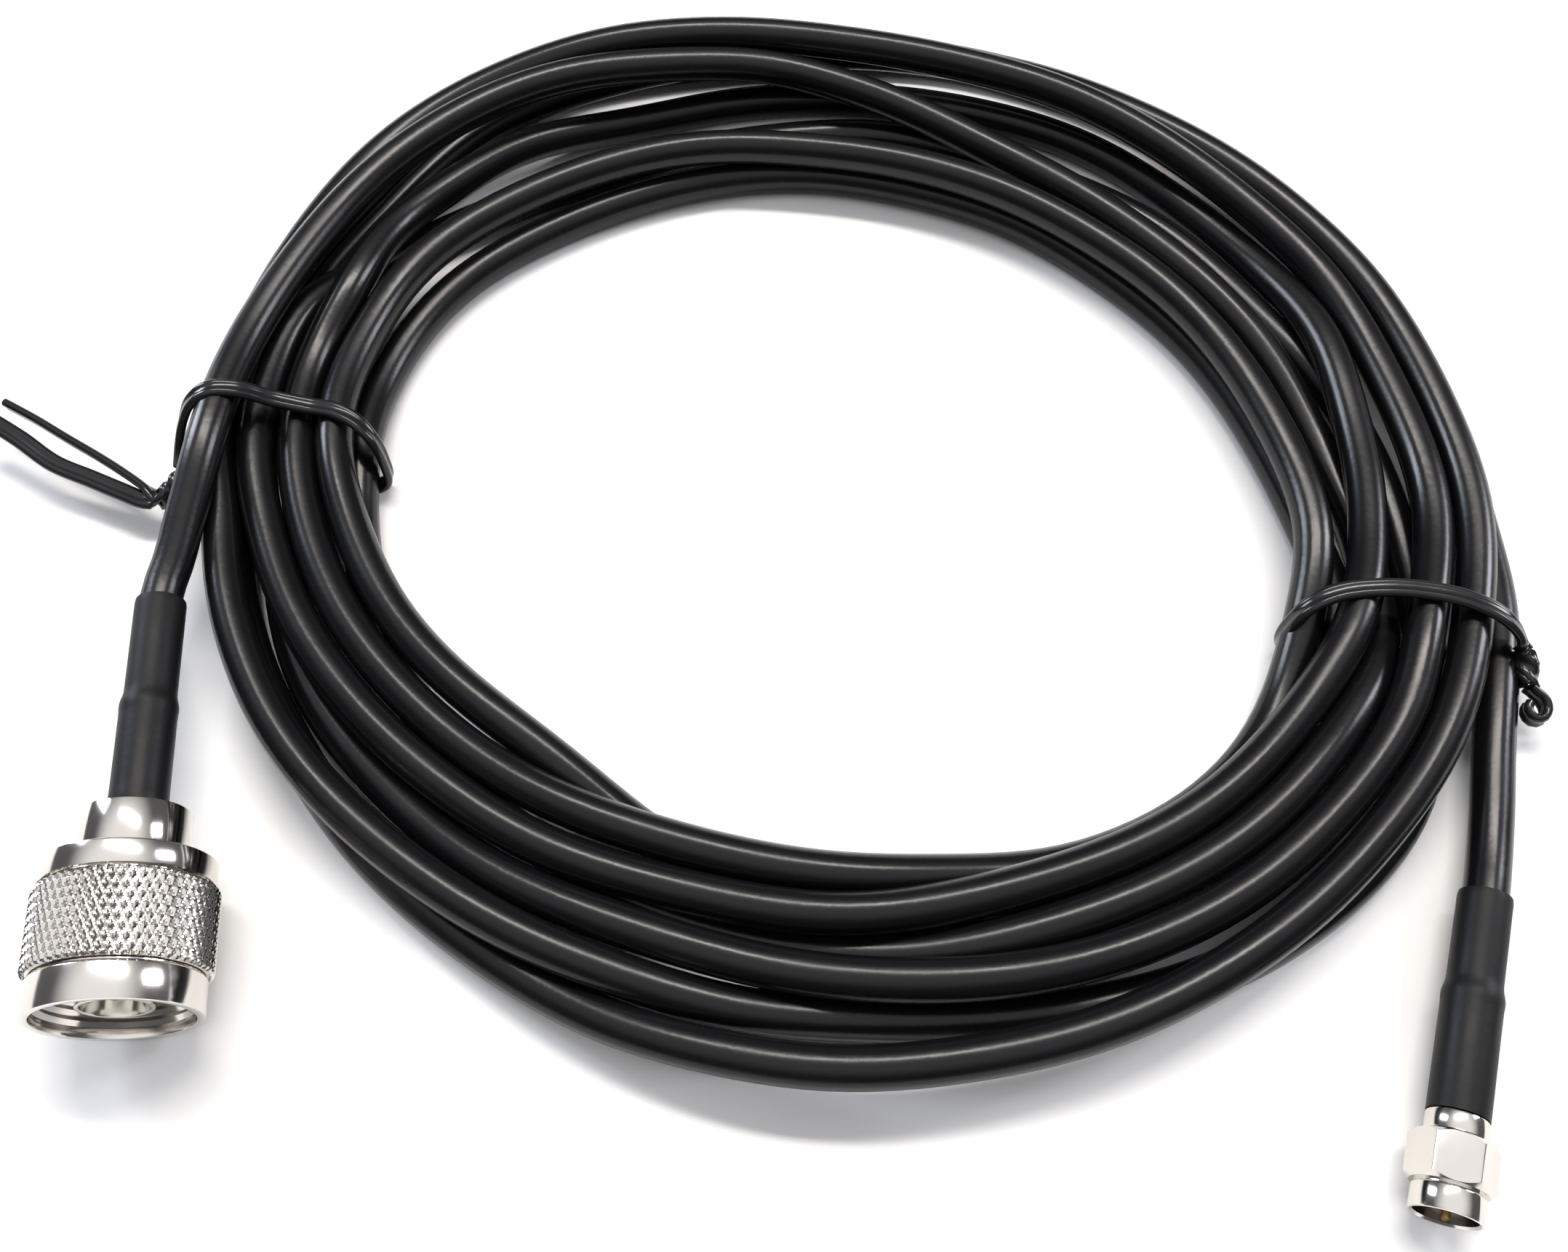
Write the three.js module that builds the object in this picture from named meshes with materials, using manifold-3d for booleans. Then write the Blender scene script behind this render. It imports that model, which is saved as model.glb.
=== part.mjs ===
// Coaxial jumper cable, wound into a flat round coil and held by two wire ties.
// One end carries a large threaded coaxial plug with a knurled nut, the other a small one with a hex nut.
// Millimetres, +Z up, the coil lies flat on z = 0.
import * as THREE from 'three';
import { mergeVertices } from 'three/addons/utils/BufferGeometryUtils.js';
import Module from 'manifold-3d';

const wasm = await Module();
wasm.setup();

const degrees = THREE.MathUtils.degToRad;

// Clearances
const FIT = 0.15; // between parts that sit one inside the other
const GAP = 0.3; // between parts that touch, and round parts that turn

// Cable and coil
const CABLE_D = 4.95;
const CABLE_SIDES = 10;
const TURN_PITCH = 5.1; // between neighbouring turns of one layer
const TURNS_ACROSS = 5;
const LAYERS = 2;
const BORE_R = 57;
const LAND = 2; // flat width on each turn's facet
const COIL_SEGMENTS = 60;

// Wire ties
const TIE_W = 2.3;
const TIE_T = 1.1;
const TIE_LIFT = 0.1; // floor to the tie's underside
const LEFT_TIE_TURN = degrees(181.5); // where round the coil each tie sits
const RIGHT_TIE_TURN = degrees(-22.5);

// Large plug, measured along its axis from the rear of its neck
const N_NECK_R = 5.45;
const N_NECK = 5.6;
const N_COLLAR_R = 9.15;
const N_COLLAR = 2.95;
const N_KNURL_R = 9.65;
const N_KNURL = 9.75;
const N_FRONT_R = 9.05;
const N_FRONT = 4.3;
const N_MOUTH_R = 8.15;
const N_JOURNAL_R = 4.7;
const N_NUT_WALL = 2.2;
const N_FLANGE_R = 7.2;
const N_FLANGE = 2;
const N_CONTACT_R = 4;
const N_CONTACT_BORE_R = 3.5;
const N_CONTACT_RECESS = 1.2;
const N_INSULATOR = 3;
const N_PIN_R = 0.82;
const N_PIN_RECESS = 2.7;
const N_TIP_R = 0.35;

// Small plug, measured along its axis from the rear of its collar
const SMA_COLLAR_R = 3.2;
const SMA_COLLAR = 2.1;
const SMA_HEX_FLATS = 8;
const SMA_HEX = 5.05;
const SMA_HEX_CORNER_R = 4.4;
const SMA_HEX_CHAMFER = 0.55;
const SMA_HEX_TURN = 11.3; // degrees that the upper flat leans from level
const SMA_FRONT_R = 3.7;
const SMA_FRONT = 3;
const SMA_MOUTH_R = 3.25;
const SMA_JOURNAL_R = 2.1;
const SMA_NUT_WALL = 1.6;
const SMA_FLANGE_R = 2.9;
const SMA_FLANGE = 1;
const SMA_FACE_R = 2.3;
const SMA_FACE_BORE_R = 2.05;
const SMA_FACE_RECESS = 3.6;
const SMA_PIN_R = 0.46;
const SMA_PIN_RECESS = 1.1;
const SMA_TIP_R = 0.2;

// Heat-shrink sleeves and the crimp ferrules under them
const SLEEVE_WALL = 0.3;
const FERRULE_R = 2.7;
const FERRULE_WALL = 0.4;
const FERRULE = 13.6;
const SLEEVE_SHOULDER = 1.2; // length of the step where the sleeve climbs the ferrule
const N_SLEEVE = 27.5;
const SMA_SLEEVE = 25.4;

const ROUND = 32;
const SMALL_ROUND = 24;

// Where the plugs lie: how far the rear of each neck is inside the coil's edge and ahead of its
// centre on the floor plan, and its heading from straight ahead
const N_INSIDE = 2.1;
const N_AHEAD = 52.5;
const N_HEADING = degrees(5.8);
const SMA_INSIDE = 19.2;
const SMA_AHEAD = 84.2;
const SMA_HEADING = degrees(-19.2);

const cableR = CABLE_D / 2;
const pitchR = TURN_PITCH / 2;
const coilOuterR = BORE_R + TURNS_ACROSS * TURN_PITCH;
const coilTop = LAYERS * CABLE_D;
const onCoil = coilTop + GAP + cableR; // centre height of a cable lying on the coil
const N_PLACE = [N_INSIDE - coilOuterR, -N_AHEAD];
const SMA_PLACE = [coilOuterR - SMA_INSIDE, -SMA_AHEAD];
const tieCentre = TIE_LIFT + TIE_T / 2;
const tieAway = GAP + TIE_T / 2; // from a surface to the centre of the tie on it
const hexCornerR = SMA_HEX_FLATS / Math.sqrt(3);
const nAxisZ = N_KNURL_R;
const smaAxisZ = hexCornerR * Math.cos(degrees(30 - SMA_HEX_TURN));
const sleeveBoreR = cableR + FIT;
const sleeveR = sleeveBoreR + SLEEVE_WALL;
const overFerruleBoreR = FERRULE_R + FIT;
const overFerruleR = overFerruleBoreR + SLEEVE_WALL;

// Shapes

// Shared corners are merged, and triangles that shrank to a line are dropped.
function welded(geometry) {
  geometry.deleteAttribute('normal');
  geometry.deleteAttribute('uv');
  const merged = mergeVertices(geometry, 1e-4);
  const index = merged.index.array;
  const kept = [];
  for (let i = 0; i < index.length; i += 3) {
    const [a, b, c] = [index[i], index[i + 1], index[i + 2]];
    if (a !== b && b !== c && c !== a) kept.push(a, b, c);
  }
  merged.setIndex(kept);
  return merged;
}

function toSolid(geometry) {
  const clean = welded(geometry);
  return new wasm.Manifold(new wasm.Mesh({
    numProp: 3,
    vertProperties: new Float32Array(clean.attributes.position.array),
    triVerts: new Uint32Array(clean.index.array),
  }));
}

function fromSolid(solid) {
  const mesh = solid.getMesh();
  const geometry = new THREE.BufferGeometry();
  geometry.setAttribute('position', new THREE.BufferAttribute(mesh.vertProperties, 3));
  geometry.setIndex(new THREE.BufferAttribute(mesh.triVerts, 1));
  geometry.computeVertexNormals();
  return geometry;
}

// A closed or axis-to-axis outline of [radius, height] points turned about the local Y axis.
function turned(outline, segments) {
  const points = outline.map(([r, y]) => new THREE.Vector2(r, y));
  return welded(new THREE.LatheGeometry(points, segments));
}

// A ring with a rectangular section, from y0 to y1.
function sleeveOf(innerR, outerR, y0, y1, segments) {
  return turned([[innerR, y0], [outerR, y0], [outerR, y1], [innerR, y1], [innerR, y0]], segments);
}

function polygon(sides, radius) {
  const points = [];
  for (let i = 0; i < sides; i++) {
    const angle = (i + 0.5) * 2 * Math.PI / sides;
    points.push(new THREE.Vector2(radius * Math.cos(angle), radius * Math.sin(angle)));
  }
  return new THREE.Shape(points);
}

function swept(shape, route, steps) {
  const path = new THREE.CatmullRomCurve3(route.map((p) => new THREE.Vector3(...p)));
  return new THREE.ExtrudeGeometry(shape, { steps, bevelEnabled: false, extrudePath: path });
}

// Coil

// The section's outline follows the outermost turns: a flat land on each, and a groove between two.
function coilSection() {
  const half = LAND / 2;
  const groove = pitchR - half;
  const centres = [];
  for (let turn = 0; turn < TURNS_ACROSS; turn++) centres.push(BORE_R + pitchR + turn * TURN_PITCH);
  const heights = [];
  for (let layer = 0; layer < LAYERS; layer++) heights.push(cableR + layer * CABLE_D);

  const outline = [];
  for (const r of centres) {
    outline.push([r - half, 0], [r + half, 0]);
    if (r !== centres.at(-1)) outline.push([r + pitchR, groove]);
  }
  for (const z of heights) {
    outline.push([coilOuterR, z - half], [coilOuterR, z + half]);
    if (z !== heights.at(-1)) outline.push([coilOuterR - groove, z + cableR]);
  }
  for (const r of [...centres].reverse()) {
    outline.push([r + half, coilTop], [r - half, coilTop]);
    if (r !== centres[0]) outline.push([r - pitchR, coilTop - groove]);
  }
  for (const z of [...heights].reverse()) {
    outline.push([BORE_R, z + half], [BORE_R, z - half]);
    if (z !== heights[0]) outline.push([BORE_R + groove, z - cableR]);
  }
  outline.push(outline[0]);
  return outline;
}

// The ties pass under the coil, through two notches in its underside.
function coil() {
  const ring = turned(coilSection(), COIL_SEGMENTS);
  ring.rotateX(Math.PI / 2);
  const notchTop = TIE_LIFT + TIE_T + GAP;
  let solid = toSolid(ring);
  for (const turn of [LEFT_TIE_TURN, RIGHT_TIE_TURN]) {
    const notch = new THREE.BoxGeometry(coilOuterR, TIE_W + 2 * GAP, 2 * notchTop);
    notch.translate((BORE_R + coilOuterR) / 2, 0, 0);
    notch.rotateZ(turn);
    solid = solid.subtract(toSolid(notch));
  }
  return fromSolid(solid);
}

// Cable tails

// A point on an axis that lies level at the given height, some way behind the neck's rear.
function behind([x, y], heading, z, distance) {
  return [x - distance * Math.sin(heading), y + distance * Math.cos(heading), z];
}

// Each free point of a tail is placed across from the coil's edge on its own side.
const leftEdge = -coilOuterR;
const rightEdge = coilOuterR;
const tailEnd = FERRULE + FIT;
const N_TAIL_ROUTE = [
  [leftEdge + 11.9, 33.4, onCoil],
  [leftEdge + 8.5, 25.5, onCoil],
  [leftEdge + 5.9, 17.5, onCoil],
  [leftEdge + 4, 9.5, onCoil],
  [leftEdge + 2.7, 1.5, onCoil],
  [leftEdge + 1.8, -6, onCoil],
  [leftEdge + 0.9, -12.5, onCoil - 0.3],
  [leftEdge + 0.2, -17, onCoil - 1.4],
  [leftEdge - 0.3, -20.5, nAxisZ + 0.6],
  behind(N_PLACE, N_HEADING, nAxisZ + 0.1, N_SLEEVE + 1.5),
  behind(N_PLACE, N_HEADING, nAxisZ, N_SLEEVE - 1),
  behind(N_PLACE, N_HEADING, nAxisZ, (N_SLEEVE + tailEnd) / 2),
  behind(N_PLACE, N_HEADING, nAxisZ, tailEnd),
];
const overTie = TIE_LIFT + TIE_T + GAP + cableR;
const SMA_TAIL_ROUTE = [
  [rightEdge + 2.8, -3, cableR],
  [rightEdge + 2.5, -9, cableR],
  [rightEdge + 1.5, -15.5, cableR + 0.2],
  [rightEdge - 0.1, -22, overTie - 0.7],
  [rightEdge - 1.7, -27.5, overTie],
  [rightEdge - 3.3, -32.6, overTie + 0.3],
  [rightEdge - 4.2, -37.5, overTie - 0.3],
  [rightEdge - 5.3, -43, cableR + 0.8],
  [rightEdge - 7.2, -50, cableR + 1],
  [rightEdge - 9.3, -56.2, smaAxisZ - 0.4],
  behind(SMA_PLACE, SMA_HEADING, smaAxisZ - 0.1, SMA_SLEEVE + 1.5),
  behind(SMA_PLACE, SMA_HEADING, smaAxisZ, SMA_SLEEVE - 1),
  behind(SMA_PLACE, SMA_HEADING, smaAxisZ, (SMA_SLEEVE + tailEnd) / 2),
  behind(SMA_PLACE, SMA_HEADING, smaAxisZ, tailEnd),
];

function tail(route, steps) {
  return swept(polygon(CABLE_SIDES, cableR), route, steps);
}

// Sleeve and ferrule at the rear of a plug, along the local Y axis, with the plug's rear face at y = 0

function ferrule() {
  return sleeveOf(FERRULE_R - FERRULE_WALL, FERRULE_R, -FERRULE, -FIT, SMALL_ROUND);
}

function heatShrink(length, end) {
  const climb = -FERRULE - FIT;
  return turned([
    [sleeveBoreR, -length], [sleeveR, -length], [sleeveR, climb - SLEEVE_SHOULDER],
    [overFerruleR, climb], [overFerruleR, end], [overFerruleBoreR, end],
    [overFerruleBoreR, climb], [sleeveBoreR, climb - SLEEVE_SHOULDER], [sleeveBoreR, -length],
  ], SMALL_ROUND);
}

// Large plug, along the local Y axis

const nNutRear = N_NECK + GAP;
const nKnurlRear = nNutRear + N_COLLAR;
const nKnurlFront = nKnurlRear + N_KNURL;
const nNutFront = nKnurlFront + N_FRONT;
const nFlangeRear = nNutRear + N_NUT_WALL + GAP;
const nFlangeFront = nFlangeRear + N_FLANGE;
const nContactFront = nNutFront - N_CONTACT_RECESS;
const N_SOCKET = 1; // depth of the neck's recess that the sleeve enters
const N_CONTACT_BASE = 1.2; // solid metal behind the insulator

function nBody() {
  const socketR = overFerruleR + FIT;
  const boreRear = nFlangeFront + N_CONTACT_BASE;
  return turned([
    [0, N_SOCKET], [socketR, N_SOCKET], [socketR, 0], [N_NECK_R, 0], [N_NECK_R, N_NECK],
    [N_JOURNAL_R, N_NECK], [N_JOURNAL_R, nFlangeRear], [N_FLANGE_R, nFlangeRear],
    [N_FLANGE_R, nFlangeFront], [N_CONTACT_R, nFlangeFront], [N_CONTACT_R, nContactFront],
    [N_CONTACT_BORE_R, nContactFront], [N_CONTACT_BORE_R, boreRear], [0, boreRear],
  ], ROUND);
}

function nInsulator() {
  const rear = nFlangeFront + N_CONTACT_BASE + FIT;
  return sleeveOf(N_PIN_R + FIT, N_CONTACT_BORE_R - FIT, rear, rear + N_INSULATOR, SMALL_ROUND);
}

function nPin() {
  const rear = nFlangeFront + N_CONTACT_BASE + FIT;
  const front = nContactFront - N_PIN_RECESS + N_CONTACT_RECESS;
  const taper = N_PIN_R - N_TIP_R;
  return turned([[0, rear], [N_PIN_R, rear], [N_PIN_R, front - taper], [N_TIP_R, front], [0, front]], SMALL_ROUND);
}

function nNut() {
  const holeR = N_JOURNAL_R + GAP;
  return turned([
    [holeR, nNutRear], [N_COLLAR_R, nNutRear], [N_COLLAR_R, nKnurlRear], [N_KNURL_R, nKnurlRear],
    [N_KNURL_R, nKnurlFront], [N_FRONT_R, nKnurlFront], [N_FRONT_R, nNutFront],
    [N_MOUTH_R, nNutFront], [N_MOUTH_R, nNutRear + N_NUT_WALL], [holeR, nNutRear + N_NUT_WALL],
    [holeR, nNutRear],
  ], ROUND);
}

// Small plug, along the local Y axis

const smaNutRear = SMA_COLLAR + GAP;
const smaHexFront = smaNutRear + SMA_HEX;
const smaNutFront = smaHexFront + SMA_FRONT;
const smaFlangeRear = smaNutRear + SMA_NUT_WALL + GAP;
const smaFlangeFront = smaFlangeRear + SMA_FLANGE;
const smaFace = smaNutFront - SMA_FACE_RECESS;
const SMA_FACE_BASE = 0.3; // metal in front of the flange, behind the insulator

function smaBody() {
  const boreRear = smaFlangeRear + SMA_FACE_BASE;
  return turned([
    [0, 0], [SMA_COLLAR_R, 0], [SMA_COLLAR_R, SMA_COLLAR], [SMA_JOURNAL_R, SMA_COLLAR],
    [SMA_JOURNAL_R, smaFlangeRear], [SMA_FLANGE_R, smaFlangeRear], [SMA_FLANGE_R, smaFlangeFront],
    [SMA_FACE_R, smaFlangeFront], [SMA_FACE_R, smaFace], [SMA_FACE_BORE_R, smaFace],
    [SMA_FACE_BORE_R, boreRear], [0, boreRear],
  ], SMALL_ROUND);
}

function smaInsulator() {
  const rear = smaFlangeRear + SMA_FACE_BASE + FIT;
  return sleeveOf(SMA_PIN_R + FIT, SMA_FACE_BORE_R - FIT, rear, smaFace, SMALL_ROUND);
}

function smaPin() {
  const rear = smaFlangeRear + SMA_FACE_BASE + FIT;
  const front = smaNutFront - SMA_PIN_RECESS;
  const taper = SMA_PIN_R - SMA_TIP_R;
  return turned([
    [0, rear], [SMA_PIN_R, rear], [SMA_PIN_R, front - taper], [SMA_TIP_R, front], [0, front],
  ], CABLE_SIDES);
}

// A hex prism whose corners are turned off at both ends, a round front, and the stepped bore.
function smaNut() {
  const prism = new THREE.CylinderGeometry(hexCornerR, hexCornerR, SMA_HEX, 6);
  prism.rotateY(degrees(SMA_HEX_TURN - 30));
  prism.translate(0, smaNutRear + SMA_HEX / 2, 0);
  const cornerTurning = turned([
    [0, smaNutRear], [SMA_HEX_CORNER_R - SMA_HEX_CHAMFER, smaNutRear],
    [SMA_HEX_CORNER_R + GAP, smaNutRear + SMA_HEX_CHAMFER + GAP],
    [SMA_HEX_CORNER_R + GAP, smaHexFront - SMA_HEX_CHAMFER - GAP],
    [SMA_HEX_CORNER_R - SMA_HEX_CHAMFER, smaHexFront], [0, smaHexFront],
  ], ROUND);
  const front = turned([
    [0, smaHexFront - SMA_HEX_CHAMFER], [SMA_FRONT_R, smaHexFront - SMA_HEX_CHAMFER],
    [SMA_FRONT_R, smaNutFront], [0, smaNutFront],
  ], ROUND);
  const holeR = SMA_JOURNAL_R + GAP;
  const bore = turned([
    [0, smaNutRear - 1], [holeR, smaNutRear - 1], [holeR, smaNutRear + SMA_NUT_WALL],
    [SMA_MOUTH_R, smaNutRear + SMA_NUT_WALL], [SMA_MOUTH_R, smaNutFront + 1], [0, smaNutFront + 1],
  ], ROUND);
  const body = toSolid(prism).intersect(toSolid(cornerTurning)).add(toSolid(front));
  return fromSolid(body.subtract(toSolid(bore)));
}

// Wire ties

function tieShape() {
  const [w, t] = [TIE_W / 2, TIE_T / 2];
  const c = 0.3; // corner bevel
  return new THREE.Shape([
    [w, -t + c], [w, t - c], [w - c, t], [-w + c, t],
    [-w, t - c], [-w, -t + c], [-w + c, -t], [w - c, -t],
  ].map(([x, y]) => new THREE.Vector2(x, y)));
}

// A tie's loop: [radius, height] points in an upright plane, turned round to the tie's place.
function tieLoop(points, turn) {
  const loop = swept(tieShape(), points.map(([r, z]) => [r, 0, z]), 44);
  return toSolid(loop.rotateZ(turn));
}

// Where the two ends are twisted together: a square bar of two thicknesses, turned along its length.
function tieTwist(from, to, turns) {
  const [start, end] = [new THREE.Vector3(...from), new THREE.Vector3(...to)];
  const length = start.distanceTo(end);
  const bar = new THREE.BoxGeometry(TIE_W, length, 2 * TIE_T, 1, 8, 1);
  const place = bar.attributes.position;
  for (let i = 0; i < place.count; i++) {
    const at = new THREE.Vector3().fromBufferAttribute(place, i);
    at.applyAxisAngle(new THREE.Vector3(0, 1, 0), turns * 2 * Math.PI * (at.y / length));
    place.setXYZ(i, at.x, at.y, at.z);
  }
  const aim = new THREE.Quaternion().setFromUnitVectors(
    new THREE.Vector3(0, 1, 0), end.clone().sub(start).normalize());
  bar.applyQuaternion(aim);
  bar.translate(...start.add(end).multiplyScalar(0.5).toArray());
  return toSolid(bar);
}

function tieEnd(route, steps) {
  return toSolid(swept(tieShape(), route, steps));
}

// The knot lies on the loop's outer side. Every point of the twist and the ends is placed from it.
function fromKnot(turn, radius) {
  const [x, y] = [radius * Math.cos(turn), radius * Math.sin(turn)];
  return (points) => points.map(([right, away, z]) => [x + right, y + away, z]);
}

const tieInnerR = BORE_R - tieAway;
const tieOuterR = coilOuterR + tieAway;
const tieTop = coilTop + tieAway;
const TIE_CORNER = 1.2;

// The run under the coil and up its bore side, which both ties share.
const underCoil = [
  [tieOuterR - TIE_CORNER, tieCentre], [tieOuterR - 2 * TIE_CORNER, tieCentre],
  [tieInnerR + 2 * TIE_CORNER, tieCentre], [tieInnerR + 0.8 * TIE_CORNER, tieCentre],
  [tieInnerR + 0.15 * TIE_CORNER, tieCentre + 0.15 * TIE_CORNER], [tieInnerR, tieCentre + TIE_CORNER],
  [tieInnerR, coilTop / 2], [tieInnerR, coilTop - TIE_CORNER],
  [tieInnerR + TIE_CORNER, tieTop - 0.2], [tieInnerR + 3 * TIE_CORNER, tieTop],
];

// The left tie goes over the cable that lies on the coil. Its two ends stand off as long tails.
function leftTie() {
  const tailR = coilOuterR - 1.8;
  const round = cableR + tieAway;
  const knotR = tieOuterR + 0.6;
  const loop = tieLoop([
    [tieOuterR + 0.5, coilTop / 2], [tieOuterR + 0.3, tieCentre + TIE_CORNER], ...underCoil,
    [tailR - 2.4 * round, tieTop + 1], [tailR - 0.85 * round, onCoil + 0.65 * round],
    [tailR - 0.2 * round, onCoil + 1.04 * round], [tailR + 0.7 * round, onCoil + 0.8 * round],
    [tailR + 1.05 * round, onCoil + 0.1 * round], [tieOuterR + 0.7, coilTop - 1], [knotR, coilTop / 2],
  ], LEFT_TIE_TURN);
  const at = fromKnot(LEFT_TIE_TURN, knotR);
  const twist = tieTwist(...at([[0.5, 0.2, 5], [-4.9, -4.6, 5]]), 0.75);
  const lower = tieEnd(at([
    [-3.5, -4, 5], [-8.7, -3.8, 5], [-16.1, -1.1, 5.2], [-23.6, 3.1, 5.8], [-29.6, 7.1, 6.4],
  ]), 14);
  const upper = tieEnd(at([[-3.5, -3.6, 5], [-8.4, -1.9, 5], [-17.8, 3.9, 5.4], [-27.9, 9.6, 6]]), 12);
  return fromSolid(loop.add(twist).add(lower).add(upper));
}

// The right tie also holds the small plug's cable. Its ends are twisted together and curled into an eye.
function rightTie() {
  const tailR = coilOuterR + 3.4;
  const tailZ = overTie;
  const round = cableR + tieAway;
  const knotR = tailR + 1.05 * round;
  const loop = tieLoop([
    [knotR, tailZ + 0.8 * round], [knotR, tailZ],
    [tailR + 0.85 * round, tailZ - 0.65 * round], [tailR + 0.3 * round, tieCentre + 0.1], ...underCoil,
    [(BORE_R + coilOuterR) / 2, tieTop], [coilOuterR - 3.5, tieTop], [coilOuterR - 1, tieTop - 0.1],
    [coilOuterR + 1.2, tieTop - 1.3], [tailR + 0.6 * round, tailZ + 1.15 * round],
    [knotR, tailZ + 0.7 * round],
  ], RIGHT_TIE_TURN);
  const at = fromKnot(RIGHT_TIE_TURN, knotR);
  const twist = tieTwist(...at([[0, 0, 6.4], [2, -4.4, 5]]), 0.75);
  const eye = tieEnd(at([
    [1.4, -3.2, 5.1], [3, -4.8, 4.9], [3.4, -6.8, 4.8], [2.2, -8.1, 4.8], [0.5, -7.6, 4.9], [0, -6, 5.1],
  ]), 14);
  return fromSolid(loop.add(twist).add(eye));
}

// Assembly

const looks = {
  jacket: new THREE.MeshStandardMaterial({ color: 0x16161a, roughness: 0.42, metalness: 0 }),
  shrink: new THREE.MeshStandardMaterial({ color: 0x1b1b1d, roughness: 0.6, metalness: 0 }),
  nickel: new THREE.MeshStandardMaterial({ color: 0xd9d6d0, roughness: 0.16, metalness: 1 }),
  ferrule: new THREE.MeshStandardMaterial({ color: 0xc8c5bf, roughness: 0.3, metalness: 1 }),
  insulator: new THREE.MeshStandardMaterial({ color: 0xeeeae2, roughness: 0.5, metalness: 0 }),
  gold: new THREE.MeshStandardMaterial({ color: 0xcaa04c, roughness: 0.25, metalness: 1 }),
  tie: new THREE.MeshStandardMaterial({ color: 0x121214, roughness: 0.35, metalness: 0 }),
};

function piece(name, geometry, material) {
  const mesh = new THREE.Mesh(geometry, material);
  mesh.name = name;
  return mesh;
}

// A plug's group has its axis along local Y, nose forward, and lies level on the floor.
function plugGroup([x, y], heading, z, pieces) {
  const group = new THREE.Group();
  group.position.set(x, y, z);
  group.rotation.z = Math.PI + heading;
  group.add(...pieces);
  return group;
}

const nPlug = plugGroup(N_PLACE, N_HEADING, nAxisZ, [
  piece('n_heat_shrink', heatShrink(N_SLEEVE, N_SOCKET - FIT), looks.shrink),
  piece('n_ferrule', ferrule(), looks.ferrule),
  piece('n_body', nBody(), looks.nickel),
  piece('n_insulator', nInsulator(), looks.insulator),
  piece('n_pin', nPin(), looks.gold),
  piece('n_coupling_nut', nNut(), looks.nickel),
]);

const smaPlug = plugGroup(SMA_PLACE, SMA_HEADING, smaAxisZ, [
  piece('sma_heat_shrink', heatShrink(SMA_SLEEVE, -FIT), looks.shrink),
  piece('sma_ferrule', ferrule(), looks.ferrule),
  piece('sma_body', smaBody(), looks.nickel),
  piece('sma_insulator', smaInsulator(), looks.insulator),
  piece('sma_pin', smaPin(), looks.gold),
  piece('sma_coupling_nut', smaNut(), looks.nickel),
]);

const group = new THREE.Group();
group.add(
  piece('coil', coil(), looks.jacket),
  piece('cable_tail_n', tail(N_TAIL_ROUTE, 28), looks.jacket),
  piece('cable_tail_sma', tail(SMA_TAIL_ROUTE, 26), looks.jacket),
  nPlug,
  smaPlug,
  piece('tie_left', leftTie(), looks.tie),
  piece('tie_right', rightTie(), looks.tie),
);

// The origin is under the middle of the whole part.
const box = new THREE.Box3().setFromObject(group);
const middle = box.getCenter(new THREE.Vector3());
group.position.set(-middle.x, -middle.y, 0);

export default group;
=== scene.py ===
# %% [markdown]
# # Coaxial adapter cable coil
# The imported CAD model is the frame: it gives the place of the coil, both plugs and both ties. Every
# visible piece below is built in that frame, in metres, and rides on a CAD body.

# %% Load the frame and name the places
import math
import bpy
import bmesh
import numpy as np
from mathutils import Matrix, Vector


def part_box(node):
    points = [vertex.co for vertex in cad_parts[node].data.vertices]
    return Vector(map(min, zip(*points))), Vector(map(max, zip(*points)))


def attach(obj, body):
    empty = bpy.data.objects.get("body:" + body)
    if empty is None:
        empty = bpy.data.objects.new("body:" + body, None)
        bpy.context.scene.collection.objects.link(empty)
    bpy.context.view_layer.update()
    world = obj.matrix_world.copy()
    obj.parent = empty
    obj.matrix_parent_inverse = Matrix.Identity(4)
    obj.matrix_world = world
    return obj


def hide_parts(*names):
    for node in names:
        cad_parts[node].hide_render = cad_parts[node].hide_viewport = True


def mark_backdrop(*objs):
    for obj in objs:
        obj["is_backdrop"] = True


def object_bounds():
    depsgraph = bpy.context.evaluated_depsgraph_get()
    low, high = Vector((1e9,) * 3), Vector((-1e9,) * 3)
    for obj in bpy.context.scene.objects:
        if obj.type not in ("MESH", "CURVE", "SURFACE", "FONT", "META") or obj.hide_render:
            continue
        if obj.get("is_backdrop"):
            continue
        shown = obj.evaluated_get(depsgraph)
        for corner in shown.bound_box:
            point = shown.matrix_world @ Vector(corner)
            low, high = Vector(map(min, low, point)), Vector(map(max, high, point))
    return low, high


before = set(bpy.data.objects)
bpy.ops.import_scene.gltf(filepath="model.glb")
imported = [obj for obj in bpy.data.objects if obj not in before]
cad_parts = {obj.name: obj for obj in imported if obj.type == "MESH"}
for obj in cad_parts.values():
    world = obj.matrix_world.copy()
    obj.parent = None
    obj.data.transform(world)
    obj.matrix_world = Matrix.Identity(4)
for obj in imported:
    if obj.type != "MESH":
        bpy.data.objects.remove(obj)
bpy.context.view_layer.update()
MM = 0.001
coil_low, coil_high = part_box("coil")
RING = Vector(((coil_low[0] + coil_high[0]) / 2, (coil_low[1] + coil_high[1]) / 2, 0.0))
print("ring centre, mm:", [round(v / MM, 2) for v in RING])

# %% [markdown]
# ## Camera
# It stands where the photograph was taken from: 164 mm above the floor, looking 62 degrees down.

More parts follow.
